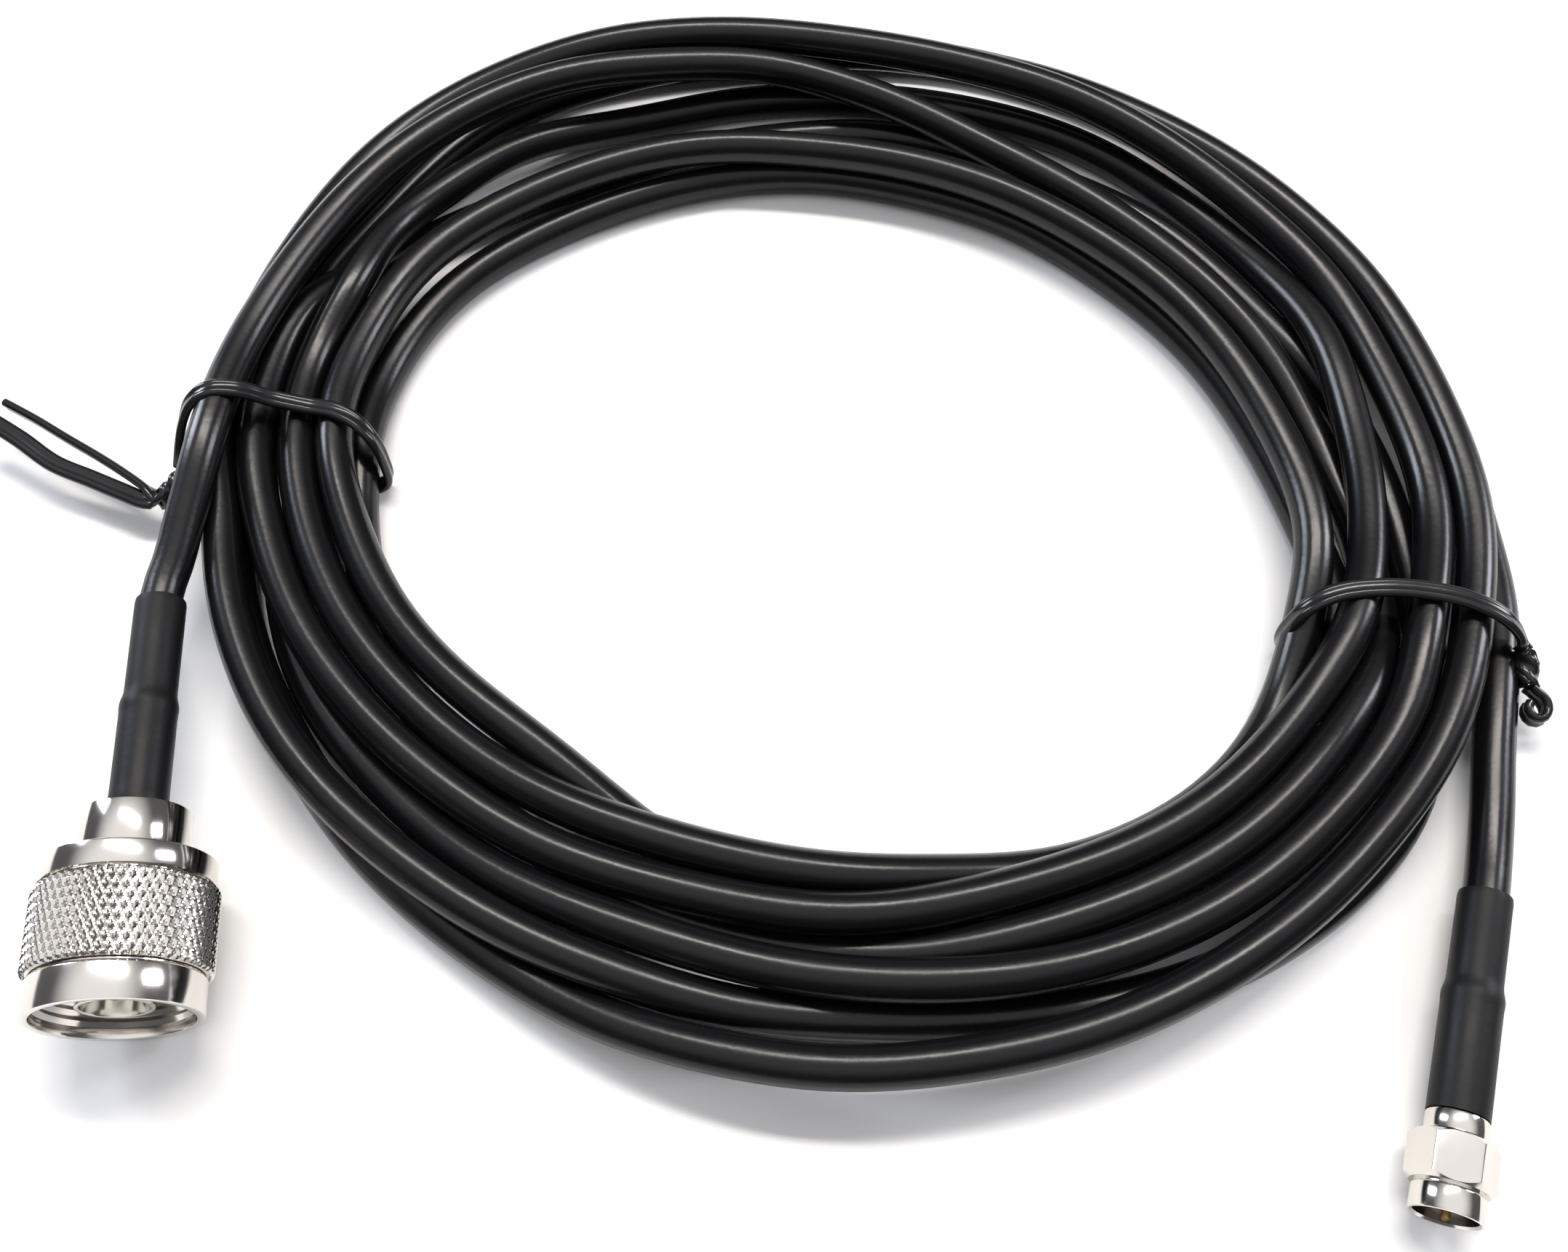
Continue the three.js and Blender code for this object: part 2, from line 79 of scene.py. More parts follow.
# %% Place the camera
PHOTO_WIDE, FOCAL_PIXELS = 2156, 2000.0
LOOKING_DOWN = 62.0
camera_data = bpy.data.cameras.new("camera")
camera_data.lens = FOCAL_PIXELS / PHOTO_WIDE * camera_data.sensor_width
camera_data.clip_start = 0.005
camera = bpy.data.objects.new("camera", camera_data)
camera.location = RING + Vector((-7.68, -110.4, 164.0)) * MM
camera.rotation_euler = (math.radians(90.0 - LOOKING_DOWN), 0.0, 0.0)
bpy.context.scene.collection.objects.link(camera)
bpy.context.scene.camera = camera

# %% [markdown]
# ## The cable
# One cable runs from the small plug, seven and a half times round, to the large plug. Each pass round the
# ring has a few places listed: angle, radius and height in millimetres. A loop joins the passes
# into one path, and a second loop pushes neighbouring turns apart until none overlap.

# %% Passes of the cable, from the small plug to the large one
CABLE_D = 4.95
CABLE_R = CABLE_D / 2
LOW, MID, TOP, OVER = CABLE_R, 5.0, 7.4, 12.3

sma_route = [
    (73.0, -56.4, 4.0), (75.0, -49.5, 3.9), (76.6, -43.0, 4.0), (78.2, -37.0, 4.1),
    (79.6, -32.0, 4.1), (81.2, -26.0, 3.6), (82.6, -19.0, 3.0),
]
n_route = [
    (-80.7, -4.0, 12.3), (-81.2, -9.0, 12.0), (-81.9, -14.0, 11.2), (-82.5, -19.0, 10.2),
]
turns = [
    # first pass: outermost on the floor, then up to the outermost front place
    [(-6, 82.9, LOW), (0, 82.6, LOW), (20, 80.6, LOW), (40, 79.3, LOW), (60, 78.8, LOW), (80, 79.0, LOW),
     (114, 80.5, LOW), (130, 83.6, LOW), (148, 83.8, LOW), (165, 82.2, LOW), (180, 81.0, LOW),
     (200, 79.2, LOW), (220, 78.0, LOW), (230, 77.8, LOW), (240, 78.0, 3.2), (250, 78.6, MID),
     (260, 79.2, 6.8), (270, 79.7, TOP), (290, 79.9, TOP), (310, 80.2, TOP), (330, 80.9, TOP),
     (350, 80.7, TOP)],
    # second pass
    [(0, 79.4, TOP), (20, 77.8, TOP), (40, 75.6, TOP), (60, 73.9, TOP), (75, 73.1, TOP), (90, 73.1, TOP),
     (114, 75.6, TOP), (130, 79.3, MID), (150, 78.9, LOW), (165, 76.2, LOW), (180, 74.2, LOW),
     (200, 74.0, LOW), (210, 73.2, 3.0), (220, 71.8, 4.0), (230, 70.8, 5.5), (240, 69.9, 6.5),
     (250, 69.2, TOP), (260, 69.4, TOP), (270, 70.1, TOP), (290, 71.8, TOP), (300, 73.6, TOP),
     (310, 74.8, TOP), (330, 75.6, TOP), (350, 75.5, TOP)],
    # third pass: climbs over the second at the back and dives under the last at the left
    [(0, 74.8, TOP), (20, 72.9, TOP), (40, 71.0, 8.5), (60, 69.6, 10.3), (80, 68.6, 11.8),
     (90, 69.6, 12.2), (100, 72.0, 12.2), (114, 76.6, 11.6), (130, 82.9, 8.8), (140, 84.7, TOP),
     (150, 83.8, TOP), (165, 82.4, TOP), (180, 81.4, TOP), (190, 80.3, TOP), (200, 79.5, TOP),
     (210, 78.8, TOP), (220, 77.4, TOP), (230, 75.9, TOP), (240, 75.0, TOP), (250, 74.3, 6.5),
     (260, 74.0, MID), (270, 73.6, 3.0), (280, 74.7, LOW), (290, 76.8, LOW), (300, 79.3, LOW),
     (310, 81.2, LOW), (320, 82.2, LOW), (328, 81.2, LOW), (335, 78.2, LOW), (342, 75.4, LOW),
     (350, 73.2, LOW)],
    # fourth pass: low, inward under the others, then out again to the left side
    [(0, 70.8, LOW), (10, 68.2, LOW), (20, 65.6, LOW), (30, 63.4, LOW), (45, 62.0, LOW), (80, 60.6, LOW),
     (100, 60.2, LOW), (114, 61.2, LOW), (130, 64.4, LOW), (140, 68.0, LOW), (150, 72.8, LOW),
     (160, 76.4, 4.6), (170, 76.7, TOP), (180, 76.0, TOP), (190, 74.3, TOP), (200, 72.3, TOP),
     (210, 70.0, TOP), (220, 67.8, TOP), (230, 66.0, TOP), (240, 64.4, TOP), (250, 63.1, TOP),
     (260, 62.8, TOP), (270, 62.8, TOP), (290, 63.3, TOP), (300, 63.9, TOP), (310, 64.9, TOP),
     (320, 65.9, TOP), (330, 66.7, TOP), (340, 67.2, TOP), (350, 67.3, TOP)],
    # fifth pass: sinks to the floor behind, shows again at the left
    [(0, 67.2, 7.2), (15, 67.8, 6.0), (30, 68.2, 4.0), (45, 68.8, LOW), (60, 69.2, LOW), (80, 68.4, LOW),
     (100, 68.7, LOW), (114, 69.6, LOW), (130, 72.4, 5.2), (140, 72.4, 6.6), (150, 73.3, TOP),
     (165, 72.8, TOP), (180, 71.3, TOP), (190, 69.0, TOP), (200, 66.9, TOP), (210, 64.7, TOP),
     (220, 62.6, TOP), (230, 60.9, TOP), (240, 59.5, TOP), (250, 58.6, TOP), (260, 58.3, 6.6),
     (270, 58.6, 5.6), (280, 59.6, 4.0), (290, 60.9, LOW), (300, 62.2, LOW), (310, 63.6, LOW),
     (320, 64.3, LOW), (330, 63.6, 3.4), (340, 62.3, 6.0), (350, 60.1, TOP)],
    # sixth pass: innermost at the right and behind
    [(0, 57.3, TOP), (10, 55.2, TOP), (20, 53.6, TOP), (30, 52.2, TOP), (40, 50.9, TOP), (60, 50.2, TOP),
     (80, 50.9, TOP), (90, 51.8, TOP), (110, 56.3, TOP), (130, 60.8, TOP), (150, 65.8, TOP),
     (165, 67.4, TOP), (180, 66.4, TOP), (200, 62.3, TOP), (210, 60.0, TOP), (220, 58.2, TOP),
     (230, 57.1, 6.8), (240, 57.3, MID), (250, 58.2, 3.0), (260, 60.0, LOW), (270, 61.6, LOW),
     (280, 63.6, LOW), (290, 65.8, LOW), (300, 67.4, LOW), (310, 68.6, LOW), (320, 68.8, LOW),
     (330, 67.9, LOW), (340, 65.0, LOW), (350, 61.2, LOW)],
    # seventh pass: on the floor, under the sixth
    [(0, 57.6, LOW), (10, 55.2, LOW), (20, 53.4, LOW), (30, 51.8, LOW), (40, 50.6, LOW), (60, 50.3, LOW),
     (90, 51.8, LOW), (110, 54.2, LOW), (130, 57.4, LOW), (150, 62.2, LOW), (165, 64.0, LOW),
     (180, 64.2, LOW), (200, 63.4, LOW), (220, 63.6, LOW), (240, 64.6, LOW), (260, 65.9, 2.8),
     (270, 66.4, 3.8), (280, 67.0, 5.0), (290, 67.9, 6.2), (300, 69.0, 7.0), (310, 69.9, 7.2),
     (320, 70.4, 7.0), (330, 71.2, 6.0), (340, 70.8, 3.4), (350, 68.2, LOW)],
    # last pass: comes out from under, climbs over all the others and leaves to the large plug
    [(0, 64.4, LOW), (10, 62.0, 4.0), (20, 59.8, 5.4), (30, 57.5, 6.6), (45, 55.8, TOP), (60, 56.5, TOP),
     (70, 58.2, TOP), (80, 61.2, 8.2), (90, 64.0, 9.4), (100, 67.8, 10.8), (110, 69.4, 11.8),
     (120, 73.0, OVER), (130, 75.9, OVER), (140, 77.4, OVER), (150, 78.2, OVER), (165, 79.0, OVER),
     (175, 80.1, OVER)],
]


def on_ring(angle, radius, height):
    """A point from its angle in degrees round the ring, its radius and its height."""
    turn = math.radians(angle)
    return (radius * math.cos(turn), radius * math.sin(turn), height)


N_PLACE, N_HEADING, N_AXIS_Z = (-80.4, -52.5), math.radians(5.8), 9.65
SMA_PLACE, SMA_HEADING, SMA_AXIS_Z = (63.3, -84.2), math.radians(-19.2), 4.375


def behind(place, heading, z, distance):
    """A point on a plug's axis, some way behind the rear of its neck."""
    return (place[0] - distance * math.sin(heading), place[1] + distance * math.cos(heading), z)


knots = [behind(SMA_PLACE, SMA_HEADING, SMA_AXIS_Z, d) for d in (13.6, 19.5, 25.5)]
knots += sma_route
for one_pass in turns:
    knots += [on_ring(angle, radius, height) for angle, radius, height in one_pass]
knots += n_route
knots += [behind(N_PLACE, N_HEADING, N_AXIS_Z, d) for d in (28.5, 20.5, 13.6)]
knots = np.array(knots)
print("knots on the cable:", len(knots), "passes:", len(turns))

# %% [markdown]
# A smooth spline goes through the knots. It is cut into equal short steps.

# %% Smooth the path and cut it into equal steps
STEP = 2.4


def smooth_path(points, per_span=12):
    """Catmull-Rom spline with chord-length knots to the power one half, so that it never loops."""
    ends = np.vstack([2 * points[0] - points[1], points, 2 * points[-1] - points[-2]])
    out = []
    for i in range(1, len(ends) - 2):
        p0, p1, p2, p3 = ends[i - 1:i + 3]
        t1 = np.linalg.norm(p1 - p0) ** 0.5
        t2 = t1 + np.linalg.norm(p2 - p1) ** 0.5
        t3 = t2 + np.linalg.norm(p3 - p2) ** 0.5
        for t in np.linspace(t1, t2, per_span, endpoint=False):
            a1 = (t1 - t) / t1 * p0 + t / t1 * p1
            a2 = (t2 - t) / (t2 - t1) * p1 + (t - t1) / (t2 - t1) * p2
            a3 = (t3 - t) / (t3 - t2) * p2 + (t - t2) / (t3 - t2) * p3
            b1 = (t2 - t) / t2 * a1 + t / t2 * a2
            b2 = (t3 - t) / (t3 - t1) * a2 + (t - t1) / (t3 - t1) * a3
            out.append((t2 - t) / (t2 - t1) * b1 + (t - t1) / (t2 - t1) * b2)
    out.append(points[-1])
    return np.array(out)


def even_steps(points, step):
    """The same path with points a step apart."""
    along = np.concatenate([[0], np.cumsum(np.linalg.norm(np.diff(points, axis=0), axis=1))])
    count = int(round(along[-1] / step)) + 1
    places = np.linspace(0, along[-1], count)
    return np.stack([np.interp(places, along, points[:, k]) for k in range(3)], 1)


def averaged(values, times):
    """Each value becomes the mean of itself and its neighbours along the path. The ends stay."""
    for _ in range(times):
        values[1:-1] = 0.25 * values[:-2] + 0.5 * values[1:-1] + 0.25 * values[2:]
    return values


path = even_steps(smooth_path(knots), STEP)
print("points:", len(path))

# %% [markdown]
# Where two turns overlap, both move apart by half the overlap. The move is shared along the cable, so the
# cable stays smooth. Each smoothing is followed by a like step back, so that the ring keeps its size. The
# floor lifts a little where a tie passes under the coil.

# %% Push the turns apart
TIE_THICK = 1.1
ROUNDS, LOOK_AROUND, KEEP_APART, HELD_POINTS = 120, 4.0, 0.06, 14


def floor_under(points):
    """Lowest allowed centre height, raised by a tie's thickness over the two ties."""
    angle = np.degrees(np.arctan2(points[:, 1], points[:, 0]))
    lift = np.zeros(len(points))
    for tie_angle in (179.5, -22.5):
        away = (angle - tie_angle + 180) % 360 - 180
        lift = np.maximum(lift, (TIE_THICK + 0.2) * np.exp(-(away / 4.5) ** 2))
    return CABLE_R + lift


def near_pairs(points, reach):
    """Pairs of points that are close in space and not neighbours along the cable."""
    index = np.arange(len(points))
    apart = np.sqrt(((points[:, None, :] - points[None, :, :]) ** 2).sum(-1))
    return np.nonzero((apart < reach) & (index[None, :] - index[:, None] > 6))


held = np.zeros(len(path), bool)
held[:HELD_POINTS] = held[-HELD_POINTS:] = True
for round_number in range(ROUNDS):
    if round_number % 12 == 0:
        first, second = near_pairs(path, CABLE_D + LOOK_AROUND)
    gap = path[first] - path[second]
    distance = np.linalg.norm(gap, axis=1) + 1e-9
    overlap = (CABLE_D + KEEP_APART - distance).clip(min=0)
    push = gap / distance[:, None] * overlap[:, None]
    total, worst, move = np.full(len(path), 1e-9), np.zeros(len(path)), np.zeros_like(path)
    for ends, sign in ((first, 1), (second, -1)):
        np.add.at(total, ends, overlap)
        np.maximum.at(worst, ends, overlap)
        np.add.at(move, ends, sign * push)
    move *= (0.5 * worst / total)[:, None]
    move[held] = 0
    path = path + averaged(move, 3) * 1.6
    smooth = averaged(path.copy(), 1)
    smooth -= 1.02 * (averaged(smooth.copy(), 1) - smooth)
    path[~held] = smooth[~held]
    path[:, 2] = np.maximum(path[:, 2], floor_under(path))
print("largest overlap left, mm:", round(float(overlap.max()), 3))

# %% [markdown]
# The cable is one curve with a round bevel. Its points carry the cable's radius, so that the curve's own
# box is as large as the cable and no larger. It stands for the CAD's ring and both of its tails.

# %% Build the cable
JOIN = bpy.context.scene.collection.objects.link
cable_data = bpy.data.curves.new("cable", "CURVE")
cable_data.dimensions = "3D"
cable_data.bevel_depth = 1.0
cable_data.bevel_resolution = 5
cable_data.use_fill_caps = True
line = cable_data.splines.new("POLY")
line.points.add(len(path) - 1)
for point, place in zip(line.points, path):
    point.co = (*(Vector(place) * MM + RING), 1.0)
    point.radius = CABLE_R * MM
line.use_smooth = True
cable = bpy.data.objects.new("cable", cable_data)
JOIN(cable)
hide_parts("coil", "cable_tail_n", "cable_tail_sma")
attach(cable, "cable")

# %% [markdown]
# ## Turned pieces
# A profile of radius and height points is spun round the plug's axis, its sharp rims are rounded, and the
# piece is put in the plug's place.

# %% Helpers for turned pieces
def plug_matrix(place, heading, z):
    """Local +Y is the plug's axis, nose forward."""
    spot = RING + Vector((place[0], place[1], z)) * MM
    return Matrix.Translation(spot) @ Matrix.Rotation(math.pi + heading, 4, "Z")


N_PLUG = plug_matrix(N_PLACE, N_HEADING, N_AXIS_Z)
SMA_PLUG = plug_matrix(SMA_PLACE, SMA_HEADING, SMA_AXIS_Z)


def spun(profile, steps=96):
    """A bmesh of [radius, height] points in millimetres turned about local Y. Radius 0 closes an end."""
    bm = bmesh.new()
    rim = [bm.verts.new((r * MM, y * MM, 0)) for r, y in profile]
    edges = [bm.edges.new(pair) for pair in zip(rim, rim[1:])]
    bmesh.ops.spin(bm, geom=rim + edges, cent=(0, 0, 0), axis=(0, 1, 0), dvec=(0, 0, 0),
                   angle=2 * math.pi, steps=steps, use_merge=True)
    bmesh.ops.remove_doubles(bm, verts=bm.verts, dist=1e-7)
    bmesh.ops.dissolve_degenerate(bm, edges=bm.edges, dist=1e-8)
    bmesh.ops.recalc_face_normals(bm, faces=bm.faces)
    return bm


def ring_edges(bm, wanted):
    """Edges that run round the axis at one of the wanted [radius, height] places, in millimetres."""
    found = []
    for edge in bm.edges:
        (r0, y0), (r1, y1) = [(math.hypot(v.co.x, v.co.z) / MM, v.co.y / MM) for v in edge.verts]
        if abs(r0 - r1) < 0.02 and abs(y0 - y1) < 0.02:
            if any(abs(r0 - r) < 0.03 and abs(y0 - y) < 0.03 for r, y in wanted):
                found.append(edge)
    return found


def round_rims(bm, wanted, size, segments=2):
    """Rounds the rims at the wanted places by size millimetres."""
    bmesh.ops.bevel(bm, geom=ring_edges(bm, wanted), offset=size * MM, offset_type="OFFSET",
                    affect="EDGES", segments=segments, profile=0.5, material=-1)


def finished(name, bm, matrix=None, angle=32):
    """Makes the object, in place, with its origin at the row frame's origin."""
    mesh = bpy.data.meshes.new(name)
    if matrix is not None:
        bmesh.ops.transform(bm, matrix=matrix, verts=bm.verts)
    bm.to_mesh(mesh)
    bm.free()
    mesh.shade_smooth()
    mesh.set_sharp_from_angle(angle=math.radians(angle))
    obj = bpy.data.objects.new(name, mesh)
    JOIN(obj)
    return obj


# %% [markdown]
# ## Heat-shrink sleeves and ferrules
# The sleeve hugs the cable, then climbs the crimp ferrule, whose step shows through.

# %% Build the sleeves and ferrules
SLEEVE_WALL, SLEEVE_GAP, SLEEVE_EASE, FERRULE_R, FERRULE, FERRULE_WALL = 0.42, 0.03, 1.6, 2.72, 13.6, 0.22


def sleeve(name, matrix, length, end, slumps):
    """slumps are [distance behind the plug, extra radius] pairs: soft rings where the shrink gathered."""
    bore = CABLE_R + SLEEVE_GAP
    over = FERRULE_R + 2 * SLEEVE_GAP
    outer = []
    for back in np.arange(length, -end, -0.5):
        t = min(max((FERRULE + SLEEVE_EASE - back) / 2.2, 0.0), 1.0)
        r = (bore + (over - bore) * (3 * t * t - 2 * t ** 3)) + SLEEVE_WALL
        r += sum(extra * math.exp(-((back - at) / 0.9) ** 2) for at, extra in slumps)
        outer.append((r, -back))
    outer[0] = (outer[0][0] - 0.06, outer[0][1])
    outer.append((over + SLEEVE_WALL, end))
    inner = [(over, end), (over, -FERRULE), (bore, -FERRULE - SLEEVE_EASE), (bore, -length)]
    profile = outer + inner
    bm = spun(profile + [profile[0]], 48)
    return finished(name, bm, matrix, 50)


n_sleeve = sleeve("n_sleeve", N_PLUG, 27.5, 0.9, [(13.6, 0.10), (1.4, 0.05)])
sma_sleeve = sleeve("sma_sleeve", SMA_PLUG, 25.4, -0.1, [(13.4, 0.08)])


def ferrule(name, matrix):
    """A thin tube over the crimp."""
    outside, inside, front = FERRULE_R, FERRULE_R - FERRULE_WALL, -0.15
    outline = [(inside, -FERRULE), (outside, -FERRULE), (outside, front), (inside, front)]
    bm = spun(outline + [outline[0]], 48)
    return finished(name, bm, matrix)


n_ferrule = ferrule("n_crimp", N_PLUG)
sma_ferrule = ferrule("sma_crimp", SMA_PLUG)

# %% [markdown]
# ## Large plug
# The body ends in the contact ring, which is slit on the real plug. The nut has a collar, a diamond knurl
# and a smooth front whose mouth is threaded.

# %% Build the large plug
NECK_R, NECK_END, JOURNAL_R, FLANGE_R, FLANGE_BACK, FLANGE_FRONT = 5.95, 5.6, 4.7, 7.2, 8.4, 10.4
CONTACT_R, CONTACT_BORE_R, CONTACT_END, CONTACT_FLOOR = 4.0, 3.5, 21.65, 11.6
n_body_profile = [
    (0, 1.0), (3.3, 1.0), (3.3, 0.0), (NECK_R, 0.0), (NECK_R, NECK_END), (JOURNAL_R, NECK_END),
    (JOURNAL_R, FLANGE_BACK), (FLANGE_R, FLANGE_BACK), (FLANGE_R, FLANGE_FRONT), (CONTACT_R, FLANGE_FRONT),
    (CONTACT_R, CONTACT_END), (CONTACT_BORE_R, CONTACT_END), (CONTACT_BORE_R, CONTACT_FLOOR),
    (0, CONTACT_FLOOR),
]
bm = spun(n_body_profile, 96)
round_rims(bm, [(NECK_R, 0.0), (NECK_R, NECK_END), (FLANGE_R, FLANGE_BACK), (FLANGE_R, FLANGE_FRONT)], 0.14)
round_rims(bm, [(CONTACT_R, CONTACT_END), (CONTACT_BORE_R, CONTACT_END)], 0.14)
n_body = finished("n_plug_body", bm, N_PLUG)

bm = spun([(0.95, 11.75), (3.4, 11.75), (3.4, 14.8), (0.95, 14.8), (0.95, 11.75)], 48)
n_insulator = finished("n_plug_insulator", bm, N_PLUG)
bm = spun([(0, 11.75), (0.82, 11.75), (0.82, 19.4), (0.74, 19.9), (0.35, 20.15), (0, 20.2)], 32)
n_pin = finished("n_plug_pin", bm, N_PLUG)

COLLAR_BACK, KNURL_BACK, KNURL_FRONT, NUT_FRONT = 5.9, 8.85, 18.6, 22.9
COLLAR_R, FRONT_R, MOUTH_R, NUT_BACK_R = 9.15, 9.05, 8.15, 5.0
THREAD_PITCH, THREAD_DEPTH, THREAD_START = 25.4 / 24, 0.4, 1.2
thread = []
for turn in range(6):
    at = NUT_FRONT - THREAD_START - turn * THREAD_PITCH
    thread += [(MOUTH_R, at), (MOUTH_R - THREAD_DEPTH, at - THREAD_PITCH * 0.5)]
nut_profile = [
    (NUT_BACK_R, COLLAR_BACK), (COLLAR_R, COLLAR_BACK), (COLLAR_R, KNURL_BACK - 0.25),
    (8.75, KNURL_BACK - 0.1), (8.75, KNURL_BACK + 0.2), (9.35, KNURL_BACK + 0.35),
    (9.35, KNURL_FRONT - 0.35), (8.8, KNURL_FRONT - 0.15), (8.8, KNURL_FRONT + 0.15),
    (FRONT_R, KNURL_FRONT + 0.35), (FRONT_R, NUT_FRONT), (MOUTH_R, NUT_FRONT),
] + thread + [
    (MOUTH_R, NUT_FRONT - 7.6), (MOUTH_R, 8.1), (NUT_BACK_R, 8.1), (NUT_BACK_R, COLLAR_BACK),
]
bm = spun(nut_profile, 128)
round_rims(bm, [(COLLAR_R, COLLAR_BACK)], 0.2, 3)
round_rims(bm, [(COLLAR_R, KNURL_BACK - 0.25), (FRONT_R, NUT_FRONT), (MOUTH_R, NUT_FRONT),
                (FRONT_R, KNURL_FRONT + 0.35)], 0.14)
n_nut = finished("n_plug_nut", bm, N_PLUG)

# %% [markdown]
# The knurl is a band of its own over the nut. Two families of V grooves cross, which leaves diamonds.

# %% Build the knurl
DIAMONDS_ROUND, DIAMOND_LONG, KNURL_DEPTH = 58, 2.2, 0.32
KNURL_R, KNURL_INSIDE_R, KNURL_CHAMFER = 9.65, 9.2, 0.45
AROUND, ALONG = DIAMONDS_ROUND * 6, 52
knurl = bmesh.new()


def groove(phase):
    """0 at the bottom of a groove, 1 midway between two."""
    return 1 - abs(2 * (phase % 1.0) - 1)


rows = []
for j in range(ALONG + 1):
    y = KNURL_BACK + 0.1 + (KNURL_FRONT - KNURL_BACK - 0.2) * j / ALONG
    edge = min(y - KNURL_BACK, KNURL_FRONT - y)
    chamfer = max(0.0, KNURL_CHAMFER - edge) * 0.9
    row = []
    for i in range(AROUND):
        around = DIAMONDS_ROUND * i / AROUND
        height = min(1.0, 1.5 * min(groove(around + y / DIAMOND_LONG), groove(around - y / DIAMOND_LONG)))
        r = KNURL_R - chamfer - KNURL_DEPTH * (1 - height)
        a = 2 * math.pi * i / AROUND
        row.append(knurl.verts.new((r * MM * math.sin(a), y * MM, r * MM * math.cos(a))))
    rows.append(row)
for low, high in zip(rows, rows[1:]):
    for i in range(AROUND):
        k = (i + 1) % AROUND
        knurl.faces.new((low[i], low[k], high[k], high[i]))
for row in (rows[0], rows[-1]):
    inner = [knurl.verts.new(v.co) for v in row]
    for v in inner:
        shrink = KNURL_INSIDE_R * MM / math.hypot(v.co.x, v.co.z)
        v.co.x, v.co.z = v.co.x * shrink, v.co.z * shrink
    for i in range(AROUND):
        k = (i + 1) % AROUND
        knurl.faces.new((row[i], row[k], inner[k], inner[i]))
bmesh.ops.recalc_face_normals(knurl, faces=knurl.faces)
n_knurl = finished("n_plug_knurl", knurl, N_PLUG, 20)
print("knurl faces:", len(n_knurl.data.polygons))

# %% [markdown]
# ## Small plug
# A round body, a hex nut with turned-off corners, a smooth round front, a white insulator and a gold pin.

# %% Build the small plug
bm = spun([(0, 0.0), (3.2, 0.0), (3.2, 2.1), (2.1, 2.1), (2.1, 4.3), (2.9, 4.3), (2.9, 5.3), (2.3, 5.3),
           (2.3, 6.85), (2.05, 6.85), (2.05, 4.6), (0, 4.6)], 64)
round_rims(bm, [(3.2, 0.0), (3.2, 2.1)], 0.22)
sma_body = finished("sma_plug_body", bm, SMA_PLUG)
bm = spun([(0.6, 4.75), (1.95, 4.75), (1.95, 6.85), (0.6, 6.85), (0.6, 4.75)], 40)
sma_insulator = finished("sma_plug_insulator", bm, SMA_PLUG)
bm = spun([(0, 4.75), (0.46, 4.75), (0.46, 8.9), (0.38, 9.15), (0.18, 9.3), (0, 9.33)], 24)
sma_pin = finished("sma_plug_pin", bm, SMA_PLUG)

HEX_FLATS, HEX_BACK, HEX_FRONT, SMA_FRONT = 8.0, 2.4, 7.45, 10.45
HEX_LEAN = math.radians(11.3)


def solid_cutter(name, bm):
    """A plain object from a bmesh, for booleans."""
    mesh = bpy.data.meshes.new(name)
    bm.to_mesh(mesh)
    bm.free()
    obj = bpy.data.objects.new(name, mesh)
    JOIN(obj)
    return obj


def cut(target, tool, operation):
    """Boolean of two objects. The tool is removed, and the target keeps the result as plain faces."""
    step = target.modifiers.new("cut", "BOOLEAN")
    step.operation, step.solver, step.object = operation, "EXACT", tool
    graph = bpy.context.evaluated_depsgraph_get()
    graph.update()
    mesh = bpy.data.meshes.new_from_object(target.evaluated_get(graph))
    target.modifiers.clear()
    target.data = mesh
    bpy.data.objects.remove(tool)


bm = bmesh.new()
corner_r = HEX_FLATS / math.sqrt(3) * MM
bmesh.ops.create_cone(bm, cap_ends=True, segments=6, radius1=corner_r, radius2=corner_r,
                      depth=(HEX_FRONT - HEX_BACK) * MM)
bmesh.ops.rotate(bm, verts=bm.verts, cent=(0, 0, 0), matrix=Matrix.Rotation(math.pi / 2, 3, "X"))
flat = max((f for f in bm.faces if abs(f.normal.y) < 0.5), key=lambda f: f.normal.z)
lean = math.atan2(flat.normal.x, flat.normal.z)
bmesh.ops.rotate(bm, verts=bm.verts, cent=(0, 0, 0), matrix=Matrix.Rotation(HEX_LEAN - lean, 3, "Y"))
bmesh.ops.translate(bm, verts=bm.verts, vec=(0, (HEX_BACK + HEX_FRONT) / 2 * MM, 0))
long_edges = [e for e in bm.edges if abs((e.verts[0].co - e.verts[1].co).normalized().y) > 0.9]
bmesh.ops.bevel(bm, geom=long_edges, offset=0.16 * MM, offset_type="OFFSET", affect="EDGES", segments=2,
                profile=0.5, material=-1)
sma_nut = solid_cutter("sma_plug_nut", bm)
CHAMFER = 0.6
bm = spun([(0, HEX_BACK - 0.01), (4.05, HEX_BACK - 0.01), (4.62, HEX_BACK + CHAMFER),
           (4.62, HEX_FRONT - CHAMFER), (3.95, HEX_FRONT + 0.01), (0, HEX_FRONT + 0.01)], 96)
cut(sma_nut, solid_cutter("corner_turning", bm), "INTERSECT")
bm = spun([(0, HEX_FRONT - 0.7), (3.45, HEX_FRONT - 0.7), (3.45, HEX_FRONT + 0.2), (3.7, HEX_FRONT + 0.35),
           (3.7, SMA_FRONT), (0, SMA_FRONT)], 96)
round_rims(bm, [(3.7, SMA_FRONT), (3.7, HEX_FRONT + 0.35)], 0.18)
cut(sma_nut, solid_cutter("round_front", bm), "UNION")
bm = spun([(0, 2.0), (2.4, 2.0), (2.4, 4.0), (3.2, 4.0), (3.2, SMA_FRONT - 0.25), (3.5, SMA_FRONT + 0.05),
           (3.5, SMA_FRONT + 1), (0, SMA_FRONT + 1)], 96)
cut(sma_nut, solid_cutter("bore", bm), "DIFFERENCE")
sma_nut.data.transform(SMA_PLUG)
